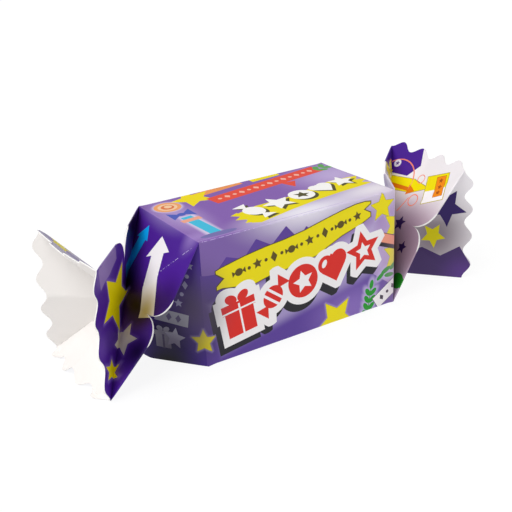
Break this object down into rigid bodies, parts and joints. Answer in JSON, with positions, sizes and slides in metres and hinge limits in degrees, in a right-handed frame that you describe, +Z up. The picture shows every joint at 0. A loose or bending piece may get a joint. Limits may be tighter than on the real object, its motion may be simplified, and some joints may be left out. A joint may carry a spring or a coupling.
{
  "type": "toffee-shaped card gift box",
  "caption": "Shut gift box of printed card in the form of a wrapped toffee: square body, twist-folded waists with notched fins, and flared ends with scalloped mouths.",
  "frame": {"origin": "middle of the body's underside, on the surface that the pack lies on", "axes": "+X along the pack, +Y to its back, +Z up"},
  "size_m": [0.2023, 0.0603, 0.0592],
  "materials": {
    "printed_card": "offset-printed folding board under a gloss film, plain white inside"
  },
  "bodies": {
    "root": {"carton": "printed_card"}
  },
  "joints": []
}
